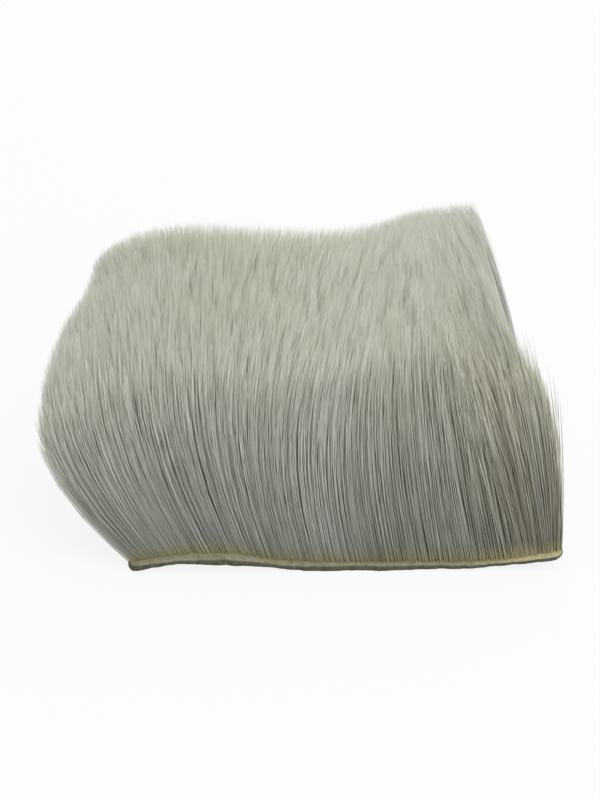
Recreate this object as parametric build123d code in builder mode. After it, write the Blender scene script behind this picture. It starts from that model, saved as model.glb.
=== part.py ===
"""Natural hair patch: a thin tanned hide that carries a dense pile of straight hair.

The pile is built the way it is used, as locks: each lock is the pinch of hair that would be cut off
at the skin. All locks follow one flow of hair, so neighbours share the shape of their sides and stay
a small gap apart from the root to the tip.

Millimetres, +Z up. The origin lies on the table, under the middle of the hide. +X runs along the
hide and +Y from its front edge to its back edge.
"""
import math
import os

from build123d import *

# ---- Hide ---------------------------------------------------------------------------------------
hide_length = 91.0          # along X
hide_depth = 54.0           # along Y
hide_thickness = 1.4
corner_radius = 2.5         # corners of the knife-cut outline
edge_wander = 0.7           # how far the cut strays inwards from a straight line
arch_height = 1.7           # the skin stands off the table here, on the left
arch_centre = -27.0
arch_end = -8.0             # left end of the flat underside
lift_start = 22.0           # right end of the flat underside
lift_height = 2.2           # the right end curls up by this much

# ---- Hair pile ----------------------------------------------------------------------------------
lock_rows = 5               # from the front edge to the back edge
lock_columns = 11           # from the left end to the right end
bare_rim = 0.8              # skin left bare between the cut edge and the first hair
lock_gap = 0.4              # clearance between the roots of two neighbouring locks
parting_wander = 1.2        # how far a parting strays from its even place along the row
parting_turns = (2.1, 3.3)  # radians of that wander's wave, per column and per row
pile_height = 39.7          # height of the pile's middle above the skin
back_rise = 5.5             # the back row stands this much higher than the front row
front_drop = 8.4            # the hair along the front edge reaches this much less high
front_drop_length = 7.3     # distance over which that drop fades
end_drop = 9.0              # the swept hair at the left end reaches this much less high
end_drop_length = 11.0      # distance over which that drop fades
right_rise = 2.5            # the right end stands this much higher
right_rise_length = 7.0     # distance over which that rise fades
crest_height = 1.7          # the pile's top swells and dips along the hide by this much
crest_start = -42.0         # X of the left swell
crest_spacing = 72.0        # distance from one swell to the next
tip_stagger = 1.2           # a lock ends up to this much above or below the pile's top
stagger_turns = (2.4, 1.7)  # radians of that stagger's wave, per column and per row
brush_length = 8.0          # a lock's end, where it parts into points
brush_narrowing = 0.8       # width that the points span, as a share of the lock's width
points_along = 3            # points of a brush, counted along the hide
points_deep = 2             # and from front to back
notch_depth = 5.0           # how far two neighbouring points are parted
point_drop = 1.5            # an outermost point ends this much below the tallest one

# ---- Flow of the hair: sideways run per unit of height ------------------------------------------
root_slope = 0.16           # to the left, at the roots
swept_slope = 1.25          # added at the left end of the hide, where the hair is swept out
swept_length = 21.5         # distance over which that sweep fades
curl_slope = 0.70           # taken off at the tips of the swept hair, which curl up again
curl_length = 10.0          # distance over which that curl fades
back_calm = 0.9             # share of the sweep and the curl which the back edge lacks
tip_slope = 0.47            # to the left, at the tips
cowlick_slope = 0.73        # taken off round the cowlick, where the tips fall to the right
cowlick_centre = -2.0
cowlick_width = 32.5
flare_slope = 0.33          # turned to the right at the front right corner
flare_length = 4.0          # distance along the hide over which that flare fades
flare_depth = 8.0           # distance from the front edge over which it fades
front_slope = 0.43          # to the back, along the front edge
back_slope = 0.62           # to the back, along the back edge

pile_inset = edge_wander + bare_rim
pile_length = hide_length - 2 * pile_inset
pile_depth = hide_depth - 2 * pile_inset
left_end = -hide_length / 2
right_end = hide_length / 2


def skin_line(height):
    """Draw the hide's profile in the XZ plane, raised by height; return its two ends."""
    crown = (arch_centre, height + arch_height)
    halfway = ((arch_centre + arch_end) / 2, height + arch_height / 2)
    heel = TangentArc(crown, (left_end, height), tangent=(-1, 0))
    fall = TangentArc(crown, halfway, tangent=(1, 0))
    settle = TangentArc(halfway, (arch_end, height), tangent=fall % 1)
    rest = Line(settle @ 1, (lift_start, height))
    lift = TangentArc(rest @ 1, (right_end, height + lift_height), tangent=(1, 0))
    return heel @ 1, lift @ 1


def back_share(y):
    """0 along the front of the pile and 1 along its back."""
    return y / pile_depth + 0.5


def flow_x(x, y, level):
    """X, at a level above the table, of the hair rooted at x and y."""
    height = level - hide_thickness
    behind = back_share(y)
    unrest = 1 - back_calm * behind
    swept = swept_slope * unrest * math.exp((left_end - x) / swept_length)
    curl = curl_slope * unrest * math.exp((left_end - x) / curl_length)
    cowlick = cowlick_slope * math.exp(-(((x - cowlick_centre) / cowlick_width) ** 2))
    flare = flare_slope * math.exp((x - right_end) / flare_length - behind * pile_depth / flare_depth)
    at_root = root_slope + swept - flare
    at_tip = tip_slope - cowlick - curl - flare
    return x - at_root * height - (at_tip - at_root) * height**2 / (2 * pile_height)


def flow_y(y, level):
    """Y, at a level above the table, of the hair rooted at y."""
    return y + (front_slope + (back_slope - front_slope) * back_share(y)) * (level - hide_thickness)


def pile_top(x, y):
    """Height above the skin that the hair rooted at x and y reaches."""
    front = front_drop * math.exp(-back_share(y) * pile_depth / front_drop_length)
    left = end_drop * math.exp((left_end - x) / end_drop_length)
    right = right_rise * math.exp((x - right_end) / right_rise_length)
    crest = crest_height * math.cos(2 * math.pi * (x - crest_start) / crest_spacing)
    return pile_height + back_rise * back_share(y) + crest + right - left - front


def parting_x(row, column):
    """X of the root of the parting to the left of a lock; the ends of a row stay in line."""
    wave = math.sin(parting_turns[0] * column + parting_turns[1] * row)
    stray = parting_wander * math.sin(math.pi * column / lock_columns) * wave
    return pile_length * (column / lock_columns - 0.5) + stray


def parting_y(row):
    """Y of the root of the parting in front of a row."""
    return pile_depth * (row / lock_rows - 0.5)


def brush_outline(low_side, high_side, shoulder, top, points):
    """Saw-toothed outline of a brush, from its low shoulder over its points to its high one."""

    def corner(share, level):
        middle = (low_side(level) + high_side(level)) / 2
        width = (high_side(level) - low_side(level)) * brush_narrowing
        return middle + width * (share - 0.5), level

    outline = [(low_side(shoulder), shoulder)]
    for point in range(points):
        share = (point + 0.5) / points
        if point > 0:
            outline.append(corner(point / points, top(point / points) - notch_depth))
        outline.append(corner(share, top(share) - point_drop * abs(2 * share - 1)))
    outline.append((high_side(shoulder), shoulder))
    return outline


os.makedirs("parts", exist_ok=True)

# ---- Hide: the waved skin, cut to a hand-trimmed outline ----------------------------------------
with BuildPart() as hide:
    with BuildSketch(Plane.XZ):
        with BuildLine():
            lower_left, lower_right = skin_line(0)
            upper_left, upper_right = skin_line(hide_thickness)
            Line(lower_left, upper_left)
            Line(lower_right, upper_right)
        make_face()
    extrude(amount=hide_depth / 2, both=True)
    with BuildSketch():
        with BuildLine():
            front, back = -hide_depth / 2, hide_depth / 2
            quarter = hide_length / 4
            Spline((left_end, front), (-quarter, front + edge_wander), (quarter, front), (right_end, front))
            Line((right_end, front), (right_end - edge_wander, back))
            Spline(
                (right_end - edge_wander, back),
                (quarter, back - edge_wander),
                (-quarter, back),
                (left_end + edge_wander, back),
            )
            Line((left_end + edge_wander, back), (left_end, front))
        make_face()
        fillet(vertices(), radius=corner_radius)
    extrude(amount=hide_thickness + arch_height + lift_height, mode=Mode.INTERSECT)
hide.part.label = "hide"
export_step(hide.part, "parts/hide.step")

# ---- Everything under the grain side of the skin; it trims the root ends of the locks -----------
with BuildPart() as under_skin:
    with BuildSketch(Plane.XZ):
        with BuildLine():
            skin_left, skin_right = skin_line(hide_thickness)
            Polyline(
                skin_left,
                (left_end, -hide_thickness),
                (right_end, -hide_thickness),
                skin_right,
            )
        make_face()
    extrude(amount=hide_depth / 2, both=True)

# ---- Hair locks: the outline seen from the front, cut to the outline seen from the side ---------
for row in range(lock_rows):
    row_front = parting_y(row) + lock_gap / 2
    row_back = parting_y(row + 1) - lock_gap / 2
    row_middle = (row_front + row_back) / 2
    for column in range(lock_columns):
        lock_left = parting_x(row, column) + lock_gap / 2
        lock_right = parting_x(row, column + 1) - lock_gap / 2
        stagger = tip_stagger * math.sin(stagger_turns[0] * column + stagger_turns[1] * row)
        lock_middle = (lock_left + lock_right) / 2
        lock_depth = row_back - row_front
        level_offset = hide_thickness + stagger
        shoulder = level_offset + pile_top(lock_middle, row_front) - brush_length

        def left_side(level):
            return flow_x(lock_left, row_middle, level)

        def right_side(level):
            return flow_x(lock_right, row_middle, level)

        def front_side(level):
            return flow_y(row_front, level)

        def back_side(level):
            return flow_y(row_back, level)

        def top_along(share):
            return level_offset + pile_top(lock_left + (lock_right - lock_left) * share, row_back)

        def top_deep(share):
            return level_offset + pile_top(lock_middle, row_front + lock_depth * share)

        with BuildPart() as lock:
            with BuildSketch(Plane.XZ):
                with BuildLine():
                    for side in (left_side, right_side):
                        ThreePointArc(*((side(level), level) for level in (0, shoulder / 2, shoulder)))
                    Line((left_side(0), 0), (right_side(0), 0))
                    Polyline(*brush_outline(left_side, right_side, shoulder, top_along, points_along))
                make_face()
            extrude(amount=hide_depth, both=True)
            with BuildSketch(Plane.YZ):
                with BuildLine():
                    brush = brush_outline(front_side, back_side, shoulder, top_deep, points_deep)
                    Polyline((front_side(0), 0), *brush, (back_side(0), 0), close=True)
                make_face()
            extrude(amount=hide_length, both=True, mode=Mode.INTERSECT)
            add(under_skin.part, mode=Mode.SUBTRACT)
        name = f"hair_lock_r{row + 1}_c{column + 1:02d}"
        lock.part.label = name
        export_step(lock.part, f"parts/{name}.step")
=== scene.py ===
"""Looks of the natural hair patch: every hair of the pile as a fine fibre, and the tanned hide.

The hair follows the same flow as the locks of the CAD model, so each lock's fibres stand in its
solid's place. Lengths are worked out in millimetres, as in the CAD model, and go to Blender in metres.
"""
import math

import bpy
import numpy as np
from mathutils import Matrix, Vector
from mathutils.bvhtree import BVHTree
from mathutils.kdtree import KDTree


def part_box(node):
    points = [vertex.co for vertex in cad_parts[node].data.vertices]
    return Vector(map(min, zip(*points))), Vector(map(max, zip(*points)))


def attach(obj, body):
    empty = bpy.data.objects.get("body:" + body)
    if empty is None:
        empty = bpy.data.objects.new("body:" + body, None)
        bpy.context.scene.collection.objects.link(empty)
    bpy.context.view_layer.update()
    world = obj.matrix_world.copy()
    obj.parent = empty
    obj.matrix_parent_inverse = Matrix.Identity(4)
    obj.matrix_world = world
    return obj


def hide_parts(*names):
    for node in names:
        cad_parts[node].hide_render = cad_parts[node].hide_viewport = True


MM = 0.001

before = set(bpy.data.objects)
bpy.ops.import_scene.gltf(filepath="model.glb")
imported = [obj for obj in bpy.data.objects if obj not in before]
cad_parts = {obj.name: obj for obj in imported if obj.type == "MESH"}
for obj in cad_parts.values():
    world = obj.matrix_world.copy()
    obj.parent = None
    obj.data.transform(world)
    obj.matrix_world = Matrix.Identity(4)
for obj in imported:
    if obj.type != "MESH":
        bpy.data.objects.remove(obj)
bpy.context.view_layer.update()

# ---- Sizes of the CAD model ---------------------------------------------------------------------
HIDE_THICKNESS = 1.4
CORNER_RADIUS = 2.5
EDGE_WANDER = 0.7
BARE_RIM = 0.8
LOCK_ROWS = 5
LOCK_COLUMNS = 11
PARTING_WANDER = 1.2
PARTING_TURNS = (2.1, 3.3)
PILE_HEIGHT = 39.7
BACK_RISE = 5.5
FRONT_DROP = 8.4
FRONT_DROP_LENGTH = 7.3
END_DROP = 9.0
END_DROP_LENGTH = 11.0
RIGHT_RISE = 2.5
RIGHT_RISE_LENGTH = 7.0
CREST_HEIGHT = 1.7
CREST_START = -42.0
CREST_SPACING = 72.0

ROOT_SLOPE = 0.16
SWEPT_SLOPE = 1.25
SWEPT_LENGTH = 21.5
CURL_SLOPE = 0.70
CURL_LENGTH = 10.0
BACK_CALM = 0.9
TIP_SLOPE = 0.47
COWLICK_SLOPE = 0.73
COWLICK_CENTRE = -2.0
COWLICK_WIDTH = 32.5
FLARE_SLOPE = 0.33
FLARE_LENGTH = 4.0
FLARE_DEPTH = 8.0
FRONT_SLOPE = 0.43
BACK_SLOPE = 0.62

hide_low, hide_high = (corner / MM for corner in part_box("hide"))
LEFT, RIGHT = hide_low.x, hide_high.x
FRONT, BACK = hide_low.y, hide_high.y
HIDE_LENGTH = RIGHT - LEFT
PILE_LENGTH = HIDE_LENGTH - 2 * (EDGE_WANDER + BARE_RIM)
PILE_DEPTH = BACK - FRONT - 2 * (EDGE_WANDER + BARE_RIM)

# ---- Fibres: their number, form and roots -------------------------------------------------------
HAIRS = 80000
HAIR_RADIUS = 0.095
RADIUS_SPREAD = 0.14        # from hair to hair, as a share of the radius
RADIUS_LIMITS = (0.6, 1.4)
SIDES = 3
RING_PLACES = np.array([0.0, 0.12, 0.36, 0.62, 0.86, 1.0])   # along a fibre, root to tip
RING_WIDTHS = np.array([0.8, 1.0, 1.0, 0.95, 0.7, 0.15])     # as shares of its radius
ROOT_MARGIN = 1.1           # the roots reach this much farther out than the roots of the locks
ROOT_DEPTH = 0.2            # how far a hair starts inside the skin
THIN_EDGE = 1.0             # the hair grows ever thinner over this depth along the front rim
BALD_START = 30.0           # from this X to the right end, a bare front rim widens
BALD_RUN = 10.0             # over this run
BALD_DEPTH = 0.2            # to this depth
COAT_DEPTH = 3.0            # this far behind the front, thicker hairs fill the gaps in the first coat
COAT_SPREAD = 1.5           # depth over which that second coat fades
COAT_THICKER = 0.7          # share of the radius added there

# ---- Zones of the pile --------------------------------------------------------------------------
FRONT_FADE = 7.0            # the front zone fades over this depth
RAGGED_CENTRE = 38.0        # X of the ragged zone, where the pinches cross and show brown
RAGGED_WIDTH = 8.0
RAGGED_FADE = 15.0          # it fades over this depth
CUT_START = 0.75            # from this share of the depth backwards, the ends are cut even
CUT_RUN = 0.15              # fully so after this share more
CUT_LEFT = 5.0              # and at the left end over this run
CUT_SHARE = 0.9             # share of the unevenness that an even cut takes away

# ---- Combing: the hair is parted into thin pinches ----------------------------------------------
PINCH_WIDTH = 0.5
PINCH_DEPTH = 9.0           # length of a pinch from front to back
COMB_SLANT = 0.42           # its sideways run to the back, as a share of the lean of the tips
PINCH_PULL = 0.95           # the ends of a pinch draw together by up to this share
PINCH_PULL_FRONT = 0.05     # and in the front zone by this share
PINCH_PULL_RISE = 0.6       # power of the way to the tip with which they do

# ---- Lengths of the hairs, as shares of the pile's height ---------------------------------------
FULL_LENGTH = 1.03
PINCH_SPREAD = 0.024        # from pinch to pinch
PINCH_LIMITS = (-1.3, 2.0)  # most that a pinch differs, in spreads
SHORTNESS = 0.075           # mean by which a hair is too short
MOST_SHORTNESS = 0.5
FRONT_SHORTNESS = 0.16      # in the front zone it is shorter by up to this much more
OVERLENGTH = 0.17           # mean by which a hair of the front zone is too long
MOST_OVERLENGTH = 0.42

# ---- Leans of the hairs: sideways run per unit of height ----------------------------------------
LEAN_WAVELENGTH = 28.0      # of the slow waves over the whole pile
LEAN_LIMIT = 2.0            # most that a hair leans out of its pinch, in spreads
FRONT_LEAN = 0.007          # from hair to hair, more in the front zone
CROSSING = 0.005            # from pinch to pinch
RAGGED_CROSSING = 0.025     # from pinch to pinch, more in the ragged zone
RAGGED_LEAN = 0.08          # to the left in the ragged zone, up to this by pinch and again by hair
STRAY_SHARE = 0.03          # share of the hairs in the front right corner that stand off the pile
STRAY_LENGTH = 1.5          # they grow ever fewer over this run from the right end
STRAY_DEPTH = 5.0           # and over this depth
STRAY_LEAN = 0.06           # to the right, up to this
STRAY_RISE = 0.25           # a stray hair reaches higher by up to this share

# ---- Tones of the hairs: 0 is brown, 0.5 grey-cream and 1 pale blue-grey ------------------------
MIDDLE_TONE = 0.57
TONE_LIMITS = (0.02, 0.98)
PALE_END = 0.22             # paler at the left end
PALE_END_FADE = 6.0         # over this run
PALE_BACK = 0.45            # paler to the back on the right
PALE_BACK_RUN = 25.0        # from the middle on, over this run
DARK_BACK = 0.4             # on the left darker instead, by this share of it
BROWN_RIGHT = 0.08          # browner on the right half
BROWN_RUN = 15.0            # from the middle on, over this run
RAGGED_BROWN = (0.1, 0.55)  # browner in the ragged zone, from pinch to pinch
PINCH_TONE = 0.13           # from pinch to pinch
PINCH_TONE_FRONT = 0.04     # and in the front zone
HAIR_TONE = 0.04            # from hair to hair
DARK_SHARE = 0.13           # share of single dark hairs
DARKER = 0.5                # by this much
DARKER_FRONT = 0.15         # and in the front zone


# ---- Flow of the hair ---------------------------------------------------------------------------
def back_share(y):
    """0 along the front of the pile and 1 along its back."""
    return y / PILE_DEPTH + 0.5


def flow_x(x, y, level):
    """X, at a level above the table, of the hair rooted at x and y."""
    height = level - HIDE_THICKNESS
    behind = back_share(y)
    unrest = 1 - BACK_CALM * behind
    swept = SWEPT_SLOPE * unrest * np.exp((LEFT - x) / SWEPT_LENGTH)
    curl = CURL_SLOPE * unrest * np.exp((LEFT - x) / CURL_LENGTH)
    cowlick = COWLICK_SLOPE * np.exp(-(((x - COWLICK_CENTRE) / COWLICK_WIDTH) ** 2))
    flare = FLARE_SLOPE * np.exp((x - RIGHT) / FLARE_LENGTH - behind * PILE_DEPTH / FLARE_DEPTH)
    at_root = ROOT_SLOPE + swept - flare
    at_tip = TIP_SLOPE - cowlick - curl - flare
    return x - at_root * height - (at_tip - at_root) * height**2 / (2 * PILE_HEIGHT)


def flow_y(y, level):
    """Y, at a level above the table, of the hair rooted at y."""
    return y + (FRONT_SLOPE + (BACK_SLOPE - FRONT_SLOPE) * back_share(y)) * (level - HIDE_THICKNESS)


def pile_top(x, y):
    """Level above the table that the hair rooted at x and y reaches."""
    front = FRONT_DROP * np.exp(-back_share(y) * PILE_DEPTH / FRONT_DROP_LENGTH)
    left = END_DROP * np.exp((LEFT - x) / END_DROP_LENGTH)
    right = RIGHT_RISE * np.exp((x - RIGHT) / RIGHT_RISE_LENGTH)
    crest = CREST_HEIGHT * np.cos(2 * math.pi * (x - CREST_START) / CREST_SPACING)
    return HIDE_THICKNESS + PILE_HEIGHT + BACK_RISE * back_share(y) + crest + right - left - front


def parting_x(row, column):
    """X of the root of the parting to the left of a lock."""
    wave = np.sin(PARTING_TURNS[0] * column + PARTING_TURNS[1] * row)
    stray = PARTING_WANDER * np.sin(math.pi * column / LOCK_COLUMNS) * wave
    return PILE_LENGTH * (column / LOCK_COLUMNS - 0.5) + stray


def ripple(x, y, wavelength, seed):
    """A smooth random field over the skin, of about unit height: the sum of a few plain waves."""
    waves = 7
    rng = np.random.default_rng(seed)
    heading = rng.uniform(0, 2 * math.pi, waves)
    turns = 2 * math.pi / (wavelength * rng.uniform(0.7, 1.6, waves))
    phase = rng.uniform(0, 2 * math.pi, waves)
    along = np.cos(heading) * x[..., None] + np.sin(heading) * y[..., None]
    return np.sin(along * turns + phase).sum(-1) / math.sqrt(waves / 2)


# ---- The skin that the hairs stand on -----------------------------------------------------------
def read_skin(samples=240):
    """Level of the grain side of the CAD hide along its middle line."""
    tree = BVHTree.FromObject(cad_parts["hide"], bpy.context.evaluated_depsgraph_get())
    xs = np.linspace(LEFT + EDGE_WANDER, RIGHT - EDGE_WANDER, samples)
    above = 100 * MM
    down = Vector((0, 0, -1))
    return xs, np.array([tree.ray_cast(Vector((x * MM, 0, above)), down)[0].z / MM for x in xs])


skin_x, skin_z = read_skin()


def skin_level(x):
    return np.interp(x, skin_x, skin_z)


# ---- Roots, pinches and zones -------------------------------------------------------------------
def scattered(rng):
    """Points over the pile's roots, one at a random place in each cell of a grid."""
    spacing = math.sqrt(PILE_LENGTH * PILE_DEPTH / HAIRS)
    length, depth = PILE_LENGTH + 2 * ROOT_MARGIN, PILE_DEPTH + 2 * ROOT_MARGIN
    columns, rows = round(length / spacing), round(depth / spacing)
    column, row = np.meshgrid(np.arange(columns), np.arange(rows))
    across = (column.ravel() + rng.uniform(0, 1, columns * rows)) / columns - 0.5
    deep = (row.ravel() + rng.uniform(0, 1, columns * rows)) / rows - 0.5
    return across * length, deep * depth


def planted(rng):
    """Roots of all hairs: scattered over the skin, but thin or missing along the front rim."""
    x, y = scattered(rng)
    bald = BALD_DEPTH * np.clip((x - BALD_START) / BALD_RUN, 0, 1)
    bare = bald + rng.uniform(0, THIN_EDGE, len(x))
    rooted = y > bare - PILE_DEPTH / 2 - ROOT_MARGIN
    return x[rooted], y[rooted]


def combed_pinches(x, y, rng):
    """Pinch that each hair lies in, by its tip, and how far that tip is from the pinch's middle."""
    top = pile_top(x, y)
    tip_x = flow_x(x, y, top)
    tip_y = flow_y(y, top)
    lean = tip_x - flow_x(x, y, top - 1)
    slant = COMB_SLANT * lean * tip_y
    across, deep = (tip_x - slant) / PINCH_WIDTH, tip_y / PINCH_DEPTH
    columns, rows = round(np.ptp(across)), round(np.ptp(deep))
    column, row = np.meshgrid(np.arange(columns), np.arange(rows))
    centre_across = across.min() + (column + rng.uniform(0, 1, column.shape)).ravel()
    centre_deep = deep.min() + (row + rng.uniform(0, 1, row.shape)).ravel()
    tree = KDTree(len(centre_across))
    for index, place in enumerate(zip(centre_across, centre_deep)):
        tree.insert((*place, 0), index)
    tree.balance()
    pinch = np.array([tree.find((*place, 0))[1] for place in zip(across, deep)])
    return pinch, (centre_across[pinch] - across) * PINCH_WIDTH


def zones(x, y):
    """How much each hair belongs to the front zone, to the ragged zone and to the uneven pile."""
    behind = back_share(y)
    front = np.exp(-behind * PILE_DEPTH / FRONT_FADE)
    ragged = np.exp(-(((x - RAGGED_CENTRE) / RAGGED_WIDTH) ** 2) - behind * PILE_DEPTH / RAGGED_FADE)
    cut_back = np.clip((behind - CUT_START) / CUT_RUN, 0, 1)
    cut_left = np.exp((LEFT - x) / CUT_LEFT)
    uneven = 1 - CUT_SHARE * np.maximum(cut_back, cut_left)
    return front, ragged, uneven


def blended(amount, front_amount, front):
    """An amount that passes into another one in the front zone."""
    return amount + (front_amount - amount) * front


# ---- Fibres -------------------------------------------------------------------------------------
def hair_lengths(x, pinch, front, uneven, rng):
    """Length of each hair, as a share of the pile's height at its root."""
    count, pinches = len(x), pinch.max() + 1
    by_pinch = PINCH_SPREAD * rng.normal(0, 1, pinches).clip(*PINCH_LIMITS)[pinch]
    too_short = np.minimum(rng.exponential(SHORTNESS, count), MOST_SHORTNESS)
    too_long = np.minimum(rng.exponential(OVERLENGTH, count), MOST_OVERLENGTH)
    towards_ends = (2 * x / HIDE_LENGTH) ** 4
    in_front = too_long * (1 - towards_ends) - rng.uniform(0, FRONT_SHORTNESS, count)
    return FULL_LENGTH + uneven * (by_pinch - too_short) + front * in_front


def hair_tones(x, y, pinch, front, ragged, rng):
    """Tone of each hair."""
    count, pinches = len(x), pinch.max() + 1
    pale_end = PALE_END * np.exp((LEFT - x) / PALE_END_FADE)
    pale_back = PALE_BACK * back_share(y) * np.clip(x / PALE_BACK_RUN, -DARK_BACK, 1)
    drift = 0.035 * ripple(x, y, 16, seed=7) + 0.03 * ripple(x, y, 4, seed=8)
    brown_right = BROWN_RIGHT * np.clip(x / BROWN_RUN, 0, 1)
    browned = ragged * rng.uniform(*RAGGED_BROWN, pinches)[pinch] + brown_right
    by_pinch = blended(PINCH_TONE, PINCH_TONE_FRONT, front) * rng.normal(0, 1, pinches)[pinch]
    dark = blended(DARKER, DARKER_FRONT, front) * (rng.uniform(0, 1, count) < DARK_SHARE)
    by_hair = rng.normal(0, HAIR_TONE, count)
    tone = MIDDLE_TONE + pale_end + pale_back + drift + by_pinch - browned - dark + by_hair
    return tone.clip(*TONE_LIMITS)


def hair_lines():
    """Centre lines of the hairs (hairs by rings by 3), their roots, radii and tones."""
    rng = np.random.default_rng(11)
    x, y = planted(rng)
    pinch, to_middle = combed_pinches(x, y, rng)
    count, pinches = len(x), pinch.max() + 1
    front, ragged, uneven = zones(x, y)
    length = hair_lengths(x, pinch, front, uneven, rng)

    base = skin_level(x)
    reach = (pile_top(x, y) - base) * length
    level = base[:, None] + reach[:, None] * RING_PLACES
    height = level - base[:, None]
    bend = height**2 / PILE_HEIGHT
    inner_x = x.clip(-PILE_LENGTH / 2, PILE_LENGTH / 2)
    px = flow_x(inner_x[:, None], y[:, None], level) + (x - inner_x)[:, None]
    py = flow_y(y[:, None], level)

    def lean(seed, waved, by_pinch, by_hair):
        """Lean of each hair, in slow waves over the pile, from pinch to pinch and from hair to hair."""
        waves = waved * ripple(x, y, LEAN_WAVELENGTH, seed)
        pinched = uneven * by_pinch * rng.normal(0, 1, pinches)[pinch]
        single = rng.normal(0, 1, count).clip(-LEAN_LIMIT, LEAN_LIMIT) * (by_hair + FRONT_LEAN * front)
        return (waves + pinched + single)[:, None]

    crossing = CROSSING + RAGGED_CROSSING * ragged
    px = px + lean(seed=2, waved=0.012, by_pinch=crossing, by_hair=0.006) * height
    px = px + lean(seed=3, waved=0.010, by_pinch=crossing, by_hair=0.008) * bend
    py = py + lean(seed=4, waved=0.012, by_pinch=0.010, by_hair=0.012) * height
    py = py + lean(seed=5, waved=0.010, by_pinch=0.010, by_hair=0.014) * bend

    aslant = RAGGED_LEAN * ragged * (rng.uniform(0, 1, pinches)[pinch] + rng.uniform(0, 1, count))
    px = px - aslant[:, None] * height
    pull = uneven * blended(PINCH_PULL, PINCH_PULL_FRONT, front) * rng.uniform(0, 1, pinches)[pinch]
    px = px + (pull * to_middle)[:, None] * RING_PLACES**PINCH_PULL_RISE

    behind = back_share(y) * PILE_DEPTH
    near_corner = np.exp((x - RIGHT) / STRAY_LENGTH - behind / STRAY_DEPTH)
    stray = STRAY_SHARE * near_corner > rng.uniform(0, 1, count)
    px = px + (stray * rng.uniform(0, STRAY_LEAN, count))[:, None] * height
    level = level + (stray * rng.uniform(0, STRAY_RISE, count))[:, None] * height
    level[:, 0] -= ROOT_DEPTH

    second_coat = COAT_THICKER * np.exp(-(((behind - COAT_DEPTH) / COAT_SPREAD) ** 2))
    radius = HAIR_RADIUS * (second_coat + rng.normal(1, RADIUS_SPREAD, count).clip(*RADIUS_LIMITS))
    tone = hair_tones(x, y, pinch, front, ragged, rng)
    return np.stack([px, py, level], -1), x, y, radius, tone


def tube_mesh(name, lines, radius, tone):
    """One mesh of closed tapered tubes. Its map OFBake has the tone across and root to tip up."""
    count, rings = lines.shape[:2]
    tangent = np.gradient(lines, axis=1)
    tangent /= np.linalg.norm(tangent, axis=-1, keepdims=True)
    side = np.cross(tangent, (0.0, 1.0, 0.0))
    side /= np.linalg.norm(side, axis=-1, keepdims=True)
    face = np.cross(side, tangent)
    turn = np.random.default_rng(5).uniform(0, 2 * math.pi, count)
    angle = (turn[:, None] + 2 * math.pi * np.arange(SIDES) / SIDES)[:, None, :, None]
    spoke = side[:, :, None] * np.cos(angle) + face[:, :, None] * np.sin(angle)
    points = lines[:, :, None] + (radius[:, None] * RING_WIDTHS)[:, :, None, None] * spoke

    first = np.arange(count)[:, None] * rings * SIDES
    low = (np.arange(rings - 1)[:, None] * SIDES + np.arange(SIDES)).ravel()
    low_next = (np.arange(rings - 1)[:, None] * SIDES + (np.arange(SIDES) + 1) % SIDES).ravel()
    quads = (np.stack([low, low_next, low_next + SIDES, low + SIDES], 1).ravel() + first).ravel()
    root_caps = (np.arange(SIDES)[::-1] + first).ravel()
    tip_caps = (np.arange(SIDES) + (rings - 1) * SIDES + first).ravel()
    corners = np.concatenate([quads, root_caps, tip_caps])
    quad_starts = np.arange(len(quads) // 4) * 4
    cap_starts = len(quads) + np.arange(2 * count) * SIDES
    starts = np.concatenate([quad_starts, cap_starts])

    mesh = bpy.data.meshes.new(name)
    mesh.vertices.add(count * rings * SIDES)
    mesh.vertices.foreach_set("co", (points * MM).ravel())
    mesh.loops.add(len(corners))
    mesh.loops.foreach_set("vertex_index", corners.astype(np.int32))
    mesh.polygons.add(len(starts))
    mesh.polygons.foreach_set("loop_start", starts.astype(np.int32))
    mesh.polygons.foreach_set("use_smooth", np.ones(len(starts), bool))

    half_strip = 0.006          # half the width of a fibre's strip on the map
    cap_strip = 0.01            # and how far along it an end cap reaches
    up = np.repeat(np.stack([RING_PLACES[:-1], RING_PLACES[1:]], 1), SIDES, axis=0)
    quad_u = tone[:, None, None] + half_strip * np.array([-1, 1, 1, -1])
    quad_u = np.broadcast_to(quad_u, (count, len(up), 4))
    quad_v = np.broadcast_to(up[:, [0, 0, 1, 1]], (count, len(up), 4))
    cap_u = np.broadcast_to(tone[:, None] + half_strip * np.array([-1, 1, 0]), (count, SIDES))
    cap_v = np.broadcast_to(np.array([0.0, 0.0, cap_strip]), (count, SIDES))
    u = np.concatenate([quad_u.ravel(), cap_u.ravel(), cap_u.ravel()])
    v = np.concatenate([quad_v.ravel(), cap_v.ravel(), 1 - cap_v.ravel()])
    layer = mesh.uv_layers.new(name="OFBake")
    layer.data.foreach_set("uv", np.stack([u, v], 1).ravel().astype(np.float32))
    mesh.update()
    return mesh


def add_piece(name, mesh, material, node):
    """Show a mesh in the place of a node of the CAD model."""
    mesh.materials.append(material)
    piece = bpy.data.objects.new(name, mesh)
    bpy.context.scene.collection.objects.link(piece)
    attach(piece, "root")
    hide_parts(node)
    return piece


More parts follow.
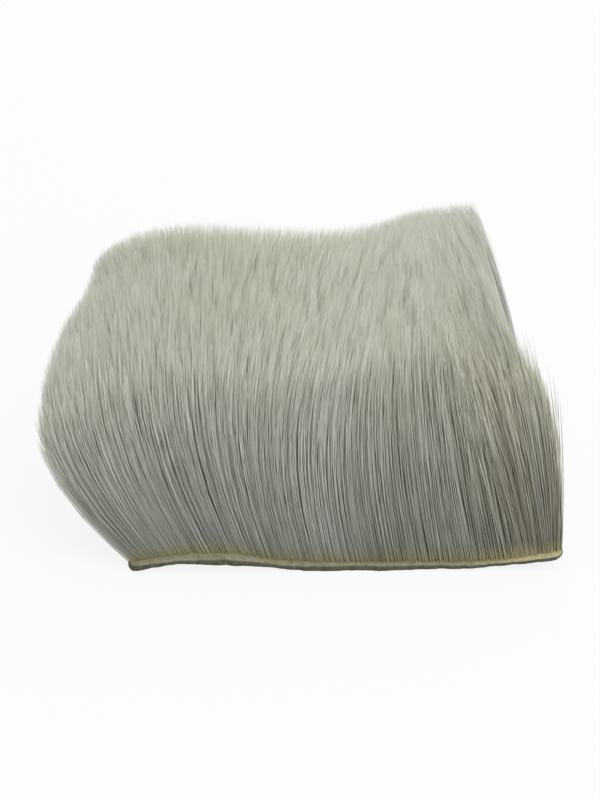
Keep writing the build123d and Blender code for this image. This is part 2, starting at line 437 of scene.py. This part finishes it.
def add_hair():
    """The fibres of each lock as a piece of their own, parted where the CAD model parts the locks."""
    lines, root_x, root_y, radius, tone = hair_lines()
    lock_row = np.floor(back_share(root_y) * LOCK_ROWS).clip(0, LOCK_ROWS - 1)
    fibre = hair_material()
    for row in range(LOCK_ROWS):
        for column in range(LOCK_COLUMNS):
            right_of_parting = (column == 0) | (root_x >= parting_x(row, column))
            left_of_parting = (column == LOCK_COLUMNS - 1) | (root_x < parting_x(row, column + 1))
            mine = (lock_row == row) & right_of_parting & left_of_parting
            node = f"hair_lock_r{row + 1}_c{column + 1:02d}"
            mesh = tube_mesh(node + "_fibres", lines[mine], radius[mine], tone[mine])
            add_piece(node + "_fibres", mesh, fibre, node)


# ---- Hide ---------------------------------------------------------------------------------------
CORNER_REACH = 1.2          # the front left corner is cut this much farther forward
CORNER_POINTS = 12
OUTLINE_SPACING = 0.5       # between two points of the outline
CUT_INSET = 0.15            # the knife's cut lies this far inside the outline, apart from its waves
THIN_START = 15.0           # from this X on, the hide thins towards the right end
THIN_RUN = 25.0             # over this run
THINNER = 0.4               # by this share
# Section of the rim, from the grain side round to the flesh side: the inset from the cut, and the
# depth under the grain side as a share of the thickness.
RIM_SECTION = (
    (1.6, 0.0),
    (0.9, 0.0),
    (0.45, 0.03),
    (0.18, 0.13),
    (0.04, 0.28),
    (0.0, 0.45),
    (0.03, 0.62),
    (0.1, 0.8),
    (0.22, 0.94),
    (0.5, 1.0),
    (1.0, 1.0),
)
INNER_RINGS = (0.90, 0.82, 0.72, 0.60, 0.46, 0.30, 0.12)     # shares of the way to the outline


def hide_outline():
    """The hand-cut outline, counter-clockwise, as points and outward directions."""
    corners = [
        (LEFT, FRONT - CORNER_REACH),
        (RIGHT, FRONT),
        (RIGHT - EDGE_WANDER, BACK),
        (LEFT + EDGE_WANDER, BACK),
    ]
    points = []
    for index, corner in enumerate(corners):
        before = np.array(corners[index - 1])
        corner = np.array(corner)
        after = np.array(corners[(index + 1) % 4])
        into = (corner - before) / np.linalg.norm(corner - before)
        out = (after - corner) / np.linalg.norm(after - corner)
        pivot = corner + (out - into) * CORNER_RADIUS
        for angle in np.linspace(0, math.pi / 2, CORNER_POINTS):
            points.append(pivot + CORNER_RADIUS * (-out * math.cos(angle) + into * math.sin(angle)))
    points = np.array(points)
    closed = np.vstack([points, points[:1]])
    run = np.concatenate([[0], np.cumsum(np.linalg.norm(np.diff(closed, axis=0), axis=1))])
    place = np.linspace(0, run[-1], round(run[-1] / OUTLINE_SPACING), endpoint=False)
    outline = np.stack([np.interp(place, run, closed[:, axis]) for axis in (0, 1)], 1)
    ahead = np.roll(outline, -1, 0) - np.roll(outline, 1, 0)
    ahead /= np.linalg.norm(ahead, axis=1, keepdims=True)
    return outline, np.stack([ahead[:, 1], -ahead[:, 0]], 1)


def hide_rings(centre):
    """Rings of points round the skin, from the grain side's middle over the rim to the flesh side's."""
    outline, outward = hide_outline()
    x, y = outline.T
    cut = 0.10 * ripple(x, y, 9, seed=21) + 0.05 * ripple(x, y, 2.2, seed=22) - CUT_INSET
    thinner = THINNER * np.clip((x - THIN_START) / THIN_RUN, 0, 1)
    thick = 1 - thinner + 0.10 * ripple(x, y, 14, seed=23) + 0.015 * ripple(x, y, 3, seed=24)
    rim = []
    for inset, depth in RIM_SECTION:
        place = outline + outward * (cut - inset)[:, None]
        level = skin_level(place[:, 0]) - HIDE_THICKNESS * depth * thick
        rim.append(np.column_stack([place, np.maximum(level, 0.0)]))
    grain, flesh = [], []
    for share in INNER_RINGS:
        place = centre + (outline - centre) * share
        grain.append(np.column_stack([place, skin_level(place[:, 0])]))
        pits = 0.06 * ripple(*place.T, 3, seed=25) + 0.05 * ripple(*place.T, 8, seed=26)
        level = skin_level(place[:, 0]) - HIDE_THICKNESS + np.abs(pits)
        flesh.append(np.column_stack([place, np.maximum(level, 0.0)]))
    return grain[::-1] + rim + flesh


def hide_mesh():
    """The tanned skin: a rounded, hand-cut rim and the waved grain and flesh sides."""
    centre = np.array([(LEFT + RIGHT) / 2, 0.0])
    rings = hide_rings(centre)
    count = len(rings[0])
    faces = []
    for ring in range(len(rings) - 1):
        here, there = ring * count, (ring + 1) * count
        for step in range(count):
            after = (step + 1) % count
            faces.append((here + step, there + step, there + after, here + after))
    last = (len(rings) - 1) * count
    grain_centre = len(rings) * count
    flesh_centre = grain_centre + 1
    for step in range(count):
        after = (step + 1) % count
        faces.append((grain_centre, step, after))
        faces.append((flesh_centre, last + after, last + step))
    grain_level = skin_level(centre[0])
    flesh_level = max(grain_level - HIDE_THICKNESS, 0)
    points = np.vstack([*rings, [*centre, grain_level], [*centre, flesh_level]])
    mesh = bpy.data.meshes.new("hide_skin")
    mesh.from_pydata((points * MM).tolist(), [], faces)
    mesh.polygons.foreach_set("use_smooth", np.ones(len(faces), bool))
    return mesh


def add_hide():
    hide = add_piece("hide_skin", hide_mesh(), skin_material(), "hide")


# ---- Materials ----------------------------------------------------------------------------------
# Colours of a hair at SHADE_PLACES, from root to tip, in steps of 255. Their darkening toward the root
# is partly the hair's own colour and partly painted shade, the fall of light down the pile to the skin.
SHADE_PLACES = (0.01, 0.09, 0.5, 0.84, 1.0)
BROWN_HAIR = ((222, 214, 172), (142, 135, 116), (151, 144, 126), (204, 199, 180), (222, 217, 198))
GREY_HAIR = ((190, 184, 146), (162, 163, 152), (180, 183, 170), (204, 207, 194), (231, 234, 218))
PALE_HAIR = ((204, 201, 170), (188, 192, 188), (206, 210, 204), (225, 229, 221), (238, 242, 230))
# Darkest and palest colour of the skin's mottle.
GRAIN_SIDE = ((124, 124, 98), (158, 158, 130))
CREAM_END = ((172, 165, 122), (204, 197, 158))
# Painted shade: the dark olive that the cut edge and flesh side take where they face sideways and down.
PAINTED_EDGE_SHADE = ((60, 60, 42), (92, 92, 70))
MOTTLE_SCALE = 900                              # cells per metre
MOTTLE_RANGE = (0.3, 0.7)                       # values of the noise that show these two colours
CREAM_RANGE = (24.0, 40.0)                      # X over which the grain side turns cream
# Over this range of the normal's upward part, the painted shade of the cut edge gives way to the grain
# side.
UPWARD_RANGE = (0.55, 0.95)                     # upward part of the normal, cut edge to grain side
GROUND_WHITE = 0.86


def srgb(red, green, blue):
    """Linear colour of a tone given in steps of 255."""
    values = np.array([red, green, blue]) / 255
    return (*np.where(values <= 0.04045, values / 12.92, ((values + 0.055) / 1.055) ** 2.4), 1.0)


def new_material(name):
    material = bpy.data.materials.new(name)
    material.use_nodes = True
    tree = material.node_tree
    return material, tree.nodes, tree.links, tree.nodes["Principled BSDF"]


def colour_ramp(nodes, places, colours):
    ramp = nodes.new("ShaderNodeValToRGB")
    elements = ramp.color_ramp.elements
    while len(elements) < len(places):
        elements.new(0.5)
    for element, place, colour in zip(elements, places, colours):
        element.position = place
        element.color = srgb(*colour)
    return ramp


def map_range(nodes, low, high):
    """Node that turns the range from low to high into 0 to 1."""
    share = nodes.new("ShaderNodeMapRange")
    share.inputs["From Min"].default_value = low
    share.inputs["From Max"].default_value = high
    return share


def blend_colours(nodes, links, share, first, second):
    blend = nodes.new("ShaderNodeMix")
    blend.data_type = "RGBA"
    links.new(share, blend.inputs["Factor"])
    links.new(first, blend.inputs["A"])
    links.new(second, blend.inputs["B"])
    return blend.outputs["Result"]


def hair_material():
    """Natural hair from root to tip, in a brown, a grey-cream and a pale blue-grey kind, darker toward
    the root partly as painted shade.
    """
    material, nodes, links, shader = new_material("hair_fibre")
    strip = nodes.new("ShaderNodeUVMap")
    strip.uv_map = "OFBake"
    split = nodes.new("ShaderNodeSeparateXYZ")
    links.new(strip.outputs["UV"], split.inputs["Vector"])
    kinds = []
    # Each ramp darkens a fibre toward its root, partly by the hair's own colour and partly as painted
    # shade.
    for colours in (BROWN_HAIR, GREY_HAIR, PALE_HAIR):
        ramp = colour_ramp(nodes, SHADE_PLACES, colours)
        links.new(split.outputs["Y"], ramp.inputs["Fac"])
        kinds.append(ramp.outputs["Color"])
    brown, grey, pale = kinds
    brown_to_grey = map_range(nodes, 0.0, 0.5)
    grey_to_pale = map_range(nodes, 0.5, 1.0)
    for share in (brown_to_grey, grey_to_pale):
        links.new(split.outputs["X"], share.inputs["Value"])
    colour = blend_colours(nodes, links, brown_to_grey.outputs["Result"], brown, grey)
    colour = blend_colours(nodes, links, grey_to_pale.outputs["Result"], colour, pale)
    links.new(colour, shader.inputs["Base Color"])
    shader.inputs["Roughness"].default_value = 0.55
    shader.inputs["Specular IOR Level"].default_value = 0.35
    return material


def skin_material():
    """Tanned skin with a fine mottle: khaki to cream on the grain side, and a dark olive painted shade
    on the cut edge and flesh side.
    """
    material, nodes, links, shader = new_material("tanned_skin")
    place = nodes.new("ShaderNodeTexCoord")
    mottle = nodes.new("ShaderNodeTexNoise")
    mottle.inputs["Scale"].default_value = MOTTLE_SCALE
    mottle.inputs["Detail"].default_value = 6
    links.new(place.outputs["Object"], mottle.inputs["Vector"])
    sides = []
    for colours in (GRAIN_SIDE, CREAM_END, PAINTED_EDGE_SHADE):
        ramp = colour_ramp(nodes, MOTTLE_RANGE, colours)
        links.new(mottle.outputs["Fac"], ramp.inputs["Fac"])
        sides.append(ramp.outputs["Color"])
    grain, cream, flesh = sides

    along = nodes.new("ShaderNodeSeparateXYZ")
    links.new(place.outputs["Object"], along.inputs["Vector"])
    right_end = map_range(nodes, CREAM_RANGE[0] * MM, CREAM_RANGE[1] * MM)
    links.new(along.outputs["X"], right_end.inputs["Value"])
    # Painted shade by the normal: faces turned sideways or down take the dark olive, up-facing ones the
    # grain side's colours.
    facing = nodes.new("ShaderNodeNewGeometry")
    split = nodes.new("ShaderNodeSeparateXYZ")
    links.new(facing.outputs["Normal"], split.inputs["Vector"])
    upward = map_range(nodes, *UPWARD_RANGE)
    links.new(split.outputs["Z"], upward.inputs["Value"])
    colour = blend_colours(nodes, links, right_end.outputs["Result"], grain, cream)
    colour = blend_colours(nodes, links, upward.outputs["Result"], flesh, colour)
    links.new(colour, shader.inputs["Base Color"])
    shader.inputs["Roughness"].default_value = 0.8
    return material


def floor_material():
    """White ground that still takes the soft shadow."""
    material, nodes, links, shader = new_material("white_ground")
    shader.inputs["Base Color"].default_value = (GROUND_WHITE, GROUND_WHITE, GROUND_WHITE, 1)
    shader.inputs["Roughness"].default_value = 1.0
    shader.inputs["Specular IOR Level"].default_value = 0.0
    glow = nodes.new("ShaderNodeEmission")
    path = nodes.new("ShaderNodeLightPath")
    share = nodes.new("ShaderNodeMath")
    share.operation = "MULTIPLY"
    share.inputs[1].default_value = GROUND_WHITE
    mix = nodes.new("ShaderNodeMixShader")
    links.new(path.outputs["Is Camera Ray"], share.inputs[0])
    links.new(share.outputs["Value"], mix.inputs["Fac"])
    links.new(shader.outputs["BSDF"], mix.inputs[1])
    links.new(glow.outputs["Emission"], mix.inputs[2])
    links.new(mix.outputs["Shader"], nodes["Material Output"].inputs["Surface"])
    return material


# ---- Studio -------------------------------------------------------------------------------------
CAMERA_AT = (-9.6, -390.7, 211.2)
CAMERA_AIM = (-9.6, 0.0, 26.5)
CAMERA_LENS = 90.5
LAMP_AIM = (0.0, 0.0, 20.0)
LAMP_SIZE = 0.9             # metres
AMBIENT = 0.58
GROUND_REACH = 4.0          # metres, to each side
GROUND_CLEARANCE = 0.1      # the ground lies this far under the hide


def aim(thing, at, target):
    thing.location = Vector(at) * MM
    thing.rotation_euler = (Vector(target) - Vector(at)).to_track_quat("-Z", "Y").to_euler()


def add_camera():
    camera = bpy.data.objects.new("camera", bpy.data.cameras.new("camera"))
    bpy.context.scene.collection.objects.link(camera)
    aim(camera, CAMERA_AT, CAMERA_AIM)
    camera.data.lens = CAMERA_LENS
    camera.data.clip_start = 0.01
    bpy.context.scene.camera = camera


def add_softbox(name, at, power):
    data = bpy.data.lights.new(name, "AREA")
    data.shape = "DISK"
    data.size = LAMP_SIZE
    data.energy = power
    lamp = bpy.data.objects.new(name, data)
    bpy.context.scene.collection.objects.link(lamp)
    aim(lamp, at, LAMP_AIM)


def add_world():
    """Even white surroundings, plain white where the camera sees them."""
    world = bpy.data.worlds.new("studio")
    bpy.context.scene.world = world
    world.use_nodes = True
    nodes, links = world.node_tree.nodes, world.node_tree.links
    ambient = nodes["Background"]
    ambient.inputs["Color"].default_value = (1, 1, 1, 1)
    ambient.inputs["Strength"].default_value = AMBIENT
    white = nodes.new("ShaderNodeBackground")
    white.inputs["Color"].default_value = (1, 1, 1, 1)
    path = nodes.new("ShaderNodeLightPath")
    seen = nodes.new("ShaderNodeMath")
    seen.operation = "MAXIMUM"
    mix = nodes.new("ShaderNodeMixShader")
    links.new(path.outputs["Is Camera Ray"], seen.inputs[0])
    links.new(path.outputs["Is Glossy Ray"], seen.inputs[1])
    links.new(seen.outputs["Value"], mix.inputs["Fac"])
    links.new(ambient.outputs["Background"], mix.inputs[1])
    links.new(white.outputs["Background"], mix.inputs[2])
    links.new(mix.outputs["Shader"], nodes["World Output"].inputs["Surface"])


def add_floor():
    mesh = bpy.data.meshes.new("ground")
    corners = [(x * GROUND_REACH, y * GROUND_REACH, 0) for x, y in ((-1, -1), (1, -1), (1, 1), (-1, 1))]
    mesh.from_pydata(corners, [], [(0, 1, 2, 3)])
    mesh.materials.append(floor_material())
    floor = bpy.data.objects.new("ground", mesh)
    bpy.context.scene.collection.objects.link(floor)
    floor.location.z = -GROUND_CLEARANCE * MM


add_hair()
add_hide()
add_camera()
add_softbox("key", at=(300, -300, 1050), power=3.0)
add_softbox("fill", at=(500, -1000, 500), power=4.7)
add_softbox("back", at=(200, 900, 700), power=3.4)
add_world()
add_floor()
bpy.context.scene.view_settings.view_transform = "Standard"
